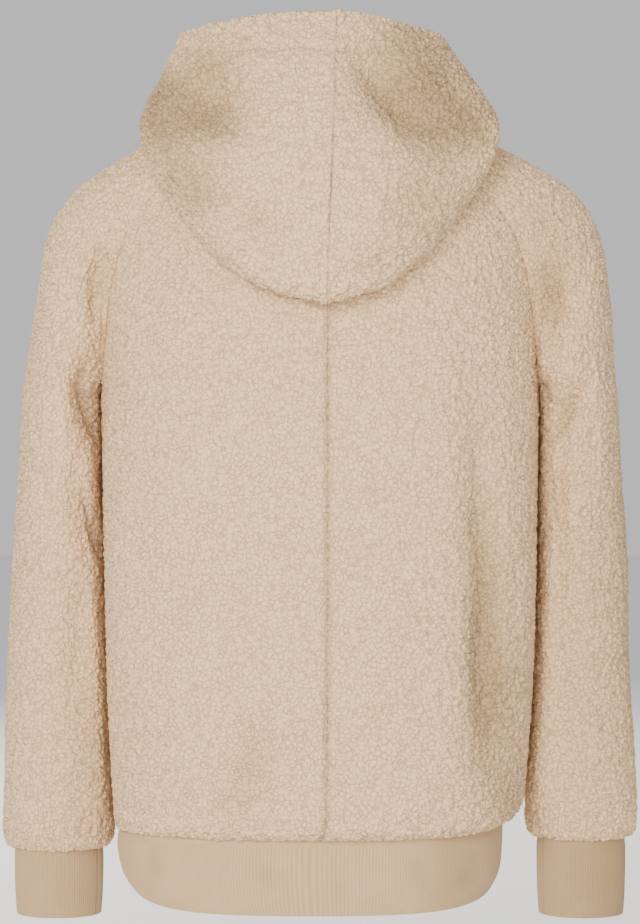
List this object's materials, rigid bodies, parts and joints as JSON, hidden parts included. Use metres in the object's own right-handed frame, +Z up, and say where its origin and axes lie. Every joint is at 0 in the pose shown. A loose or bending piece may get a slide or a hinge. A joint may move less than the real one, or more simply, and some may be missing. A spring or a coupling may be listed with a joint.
{
  "type": "hooded sherpa fleece pullover",
  "caption": "Deep-pile fleece pullover with raglan sleeves, rib hem and cuffs and its hood down on the back, filled out as if worn, with nobody inside.",
  "frame": {"origin": "the middle of the neck opening, level with the highest points of the shoulders, where the garment hangs on its wearer", "axes": "+Z up, +Y out of the wearer's back, +X to the wearer's left"},
  "size_m": [0.6034, 0.3108, 0.8262],
  "materials": {
    "fleece": "matt nubby pile",
    "rib": "matt rib knit"
  },
  "bodies": {
    "root": {"back_left": "fleece", "back_right": "fleece", "front": "fleece", "sleeve_left": "fleece", "sleeve_right": "fleece", "hood_left": "fleece", "hood_right": "fleece", "hem_band": "rib", "cuff_left": "rib", "cuff_right": "rib"}
  },
  "joints": []
}
